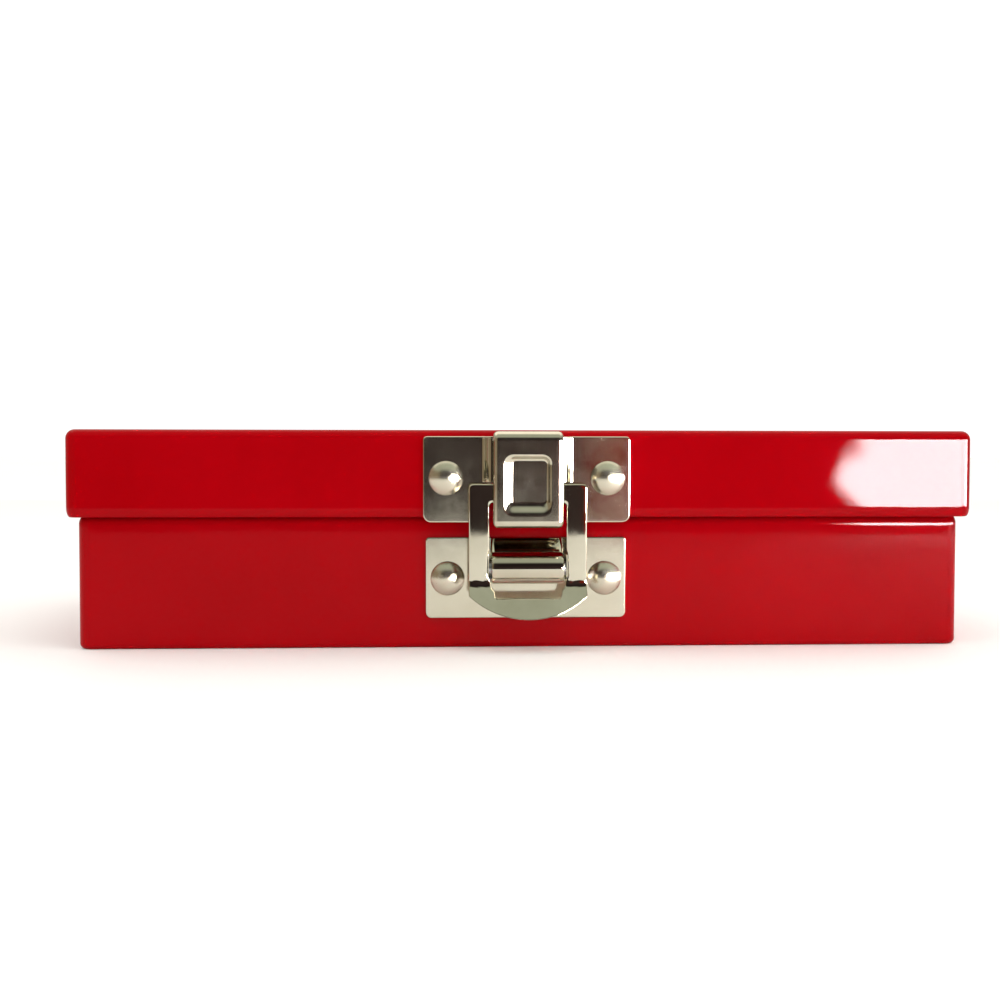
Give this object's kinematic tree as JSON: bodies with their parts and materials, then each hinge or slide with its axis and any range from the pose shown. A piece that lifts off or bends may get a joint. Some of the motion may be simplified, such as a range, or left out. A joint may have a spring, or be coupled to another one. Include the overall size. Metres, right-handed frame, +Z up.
{
  "type": "toolbox with tray",
  "caption": "Small red pressed-steel toolbox: hinged overlapping lid, snap latch on the front and a sliding divided tray inside.",
  "frame": {"origin": "centre of the base's flat underside", "axes": "+X to the right along the front, +Y from the latch towards the hinges, +Z up; lid closed, tray at the left end"},
  "size_m": [0.2, 0.1227, 0.048],
  "materials": {
    "red_enamel": "glossy stoved enamel on sheet steel",
    "nickel_plate": "bright nickel plate on pressed steel",
    "zinc_plate": "zinc-plated sheet steel",
    "aluminium_rivet": "plain",
    "steel_pin": "drawn steel wire",
    "spring_wire": "drawn spring wire"
  },
  "bodies": {
    "base": {"base_shell": "red_enamel", "tray_rail_front": "red_enamel", "tray_rail_rear": "red_enamel", "latch_strike_plate": "nickel_plate", "latch_strike_rivet_left": "nickel_plate", "latch_strike_rivet_right": "nickel_plate", "hinge_left_base_leaf": "nickel_plate", "hinge_left_base_rivets": "nickel_plate", "hinge_left_pin": "steel_pin", "hinge_right_base_leaf": "nickel_plate", "hinge_right_base_rivets": "nickel_plate", "hinge_right_pin": "steel_pin", "latch_spring": "spring_wire"},
    "lid": {"lid_shell": "red_enamel", "latch_keeper_plate": "nickel_plate", "latch_keeper_rivet_left": "nickel_plate", "latch_keeper_rivet_right": "nickel_plate", "hinge_left_lid_leaf": "nickel_plate", "hinge_left_lid_rivets": "nickel_plate", "hinge_right_lid_leaf": "nickel_plate", "hinge_right_lid_rivets": "nickel_plate"},
    "latch_lever": {"latch_lever": "nickel_plate", "latch_pin": "steel_pin"},
    "tray": {"tray_shell": "red_enamel", "tray_handle_partition": "zinc_plate", "tray_partition_rivets": "aluminium_rivet", "tray_divider_left": "zinc_plate", "tray_divider_right": "zinc_plate"}
  },
  "joints": [
    {"name": "lid_hinge", "type": "hinge", "parent": "base", "child": "lid", "pos_m": [0, 0.0569, 0.0267], "axis": [-1, 0, 0], "range_deg": [0, 180]},
    {"name": "latch_lever_pivot", "type": "hinge", "parent": "base", "child": "latch_lever", "pos_m": [0, -0.057, 0.0179], "axis": [-1, 0, 0], "range_deg": [0, 7], "stiffness_Nm_per_rad": 0.02, "springref_deg": -40.11, "deforming": ["latch_spring"]},
    {"name": "tray_slide", "type": "slide", "parent": "base", "child": "tray", "axis": [1, 0, 0], "range_m": [0, 0.0645]}
  ]
}
